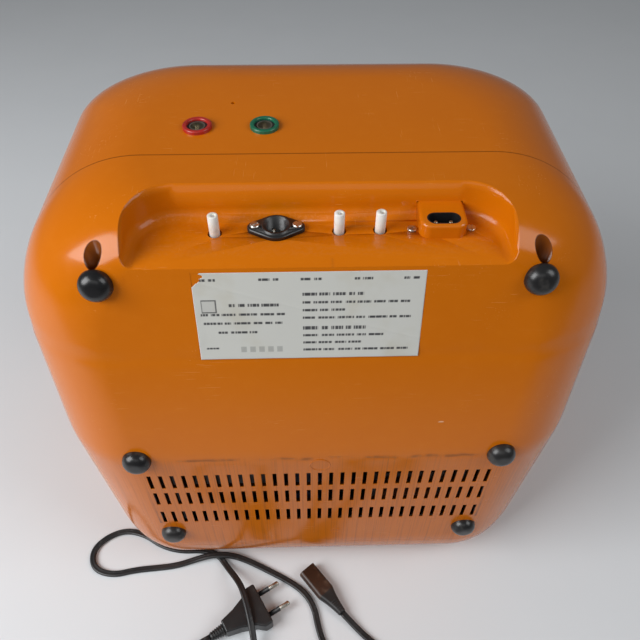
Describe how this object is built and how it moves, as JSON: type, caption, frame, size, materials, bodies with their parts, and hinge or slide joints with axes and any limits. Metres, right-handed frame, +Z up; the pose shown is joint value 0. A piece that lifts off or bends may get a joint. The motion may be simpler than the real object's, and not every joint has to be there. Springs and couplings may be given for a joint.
{
  "type": "portable television",
  "caption": "Portable television with a rounded moulded plastic case, vented underside, feet, rear recess with sockets and trim shafts, fold-out handle and a loose mains lead.",
  "frame": {"origin": "centre of the bounding box in plan, on the table the set lies on, face down", "axes": "+Z up, from the screen to the back of the set; +Y towards the top of the set; +X the set's left side seen from the back as it lies"},
  "size_m": [0.3829, 0.4265, 0.3474],
  "materials": {
    "case_plastic": "glossy orange moulding with fine scratches",
    "handle_plastic": "black, fine texture",
    "steel": "plated",
    "foot_rubber": "black, dusty",
    "label_paper": "off-white printed label, creased",
    "board_laminate": "brown paper laminate",
    "black_plastic": "black moulding",
    "white_nylon": "white nylon",
    "contact_brass": "plated contact",
    "red_plastic": "red ring",
    "green_plastic": "dark green ring",
    "mask_plastic": "dark grey moulding",
    "tube_glass": "grey face, polished",
    "winding_copper": "enamelled copper wire",
    "knob_plastic": "black, fluted",
    "button_plastic": "pale grey",
    "cone_paper": "dark paper",
    "capacitor_sleeve": "blue sleeve",
    "sink_aluminium": "plain",
    "cord_black": "black sheath",
    "plug_black": "black to dark brown moulding"
  },
  "bodies": {
    "set": {"base_tray": "case_plastic", "cabinet_cover": "case_plastic", "inlet_surround": "case_plastic", "handle_pins": "steel", "front_feet": "foot_rubber", "middle_feet": "foot_rubber", "rear_feet": "foot_rubber", "case_screws": "steel", "rating_label": "label_paper", "trim_board": "board_laminate", "trim_pots": "black_plastic", "battery_socket": "black_plastic", "battery_pins": "contact_brass", "battery_socket_screws": "steel", "inlet_insert": "black_plastic", "inlet_pins": "contact_brass", "inlet_screws": "steel", "aerial_ring_red": "red_plastic", "aerial_ring_green": "green_plastic", "aerial_bodies": "black_plastic", "aerial_contacts": "contact_brass", "front_mask": "mask_plastic", "picture_tube": "tube_glass", "tube_band": "steel", "tube_screws": "steel", "yoke_former": "black_plastic", "yoke_coils": "winding_copper", "tube_socket": "board_laminate", "control_pots": "steel", "switch_block": "black_plastic", "speaker_frame": "steel", "speaker_cone": "cone_paper", "speaker_magnet": "steel", "main_board": "board_laminate", "board_screws": "steel", "board_capacitors": "capacitor_sleeve", "line_transformer": "black_plastic", "chassis_plate": "steel", "mains_core": "steel", "mains_winding": "winding_copper", "tuner_box": "steel", "filter_capacitors": "capacitor_sleeve", "heat_sink": "sink_aluminium", "cord_tube": "cord_black", "cord_coil": "cord_black", "mains_plug": "plug_black", "plug_pins": "contact_brass", "cord_connector": "plug_black"},
    "carrying_handle": {"handle": "handle_plastic"},
    "vertical_hold": {"vertical_hold_shaft": "white_nylon"},
    "vertical_size": {"vertical_size_shaft": "white_nylon"},
    "horizontal_hold": {"horizontal_hold_shaft": "white_nylon"},
    "tuning": {"tuning_knob": "knob_plastic"},
    "brightness": {"brightness_knob": "knob_plastic"},
    "contrast": {"contrast_knob": "knob_plastic"},
    "volume": {"volume_knob": "knob_plastic"},
    "mains_switch": {"mains_button": "button_plastic"},
    "low_band": {"low_band_button": "button_plastic"},
    "high_band": {"high_band_button": "button_plastic"}
  },
  "joints": [
    {"name": "handle_hinge", "type": "hinge", "parent": "set", "child": "carrying_handle", "pos_m": [0, 0.1385, 0.098], "axis": [-1, 0, 0], "range_deg": [0, 90]},
    {"name": "vertical_hold_turn", "type": "hinge", "parent": "set", "child": "vertical_hold", "pos_m": [-0.0584, -0.0776, 0.311], "axis": [0, 0, 1], "range_deg": [-140, 140]},
    {"name": "vertical_size_turn", "type": "hinge", "parent": "set", "child": "vertical_size", "pos_m": [0.0114, -0.0768, 0.311], "axis": [0, 0, 1], "range_deg": [-140, 140]},
    {"name": "horizontal_hold_turn", "type": "hinge", "parent": "set", "child": "horizontal_hold", "pos_m": [0.0346, -0.0764, 0.311], "axis": [0, 0, 1], "range_deg": [-140, 140]},
    {"name": "tuning_turn", "type": "hinge", "parent": "set", "child": "tuning", "pos_m": [-0.118, 0.088, 0.012], "axis": [0, 0, 1], "range_deg": [-150, 150]},
    {"name": "brightness_turn", "type": "hinge", "parent": "set", "child": "brightness", "pos_m": [-0.118, 0.06, 0.012], "axis": [0, 0, 1], "range_deg": [-150, 150]},
    {"name": "contrast_turn", "type": "hinge", "parent": "set", "child": "contrast", "pos_m": [-0.118, 0.039, 0.012], "axis": [0, 0, 1], "range_deg": [-150, 150]},
    {"name": "volume_turn", "type": "hinge", "parent": "set", "child": "volume", "pos_m": [-0.118, 0.018, 0.012], "axis": [0, 0, 1], "range_deg": [-150, 150]},
    {"name": "mains_push", "type": "slide", "parent": "set", "child": "mains_switch", "axis": [0, 0, 1], "range_m": [0, 0.0035], "stiffness_N_per_m": 300, "springref_m": -0.004},
    {"name": "low_band_push", "type": "slide", "parent": "set", "child": "low_band", "axis": [0, 0, 1], "range_m": [0, 0.0035], "stiffness_N_per_m": 300, "springref_m": -0.004},
    {"name": "high_band_push", "type": "slide", "parent": "set", "child": "high_band", "axis": [0, 0, 1], "range_m": [0, 0.0035], "stiffness_N_per_m": 300, "springref_m": -0.004}
  ]
}
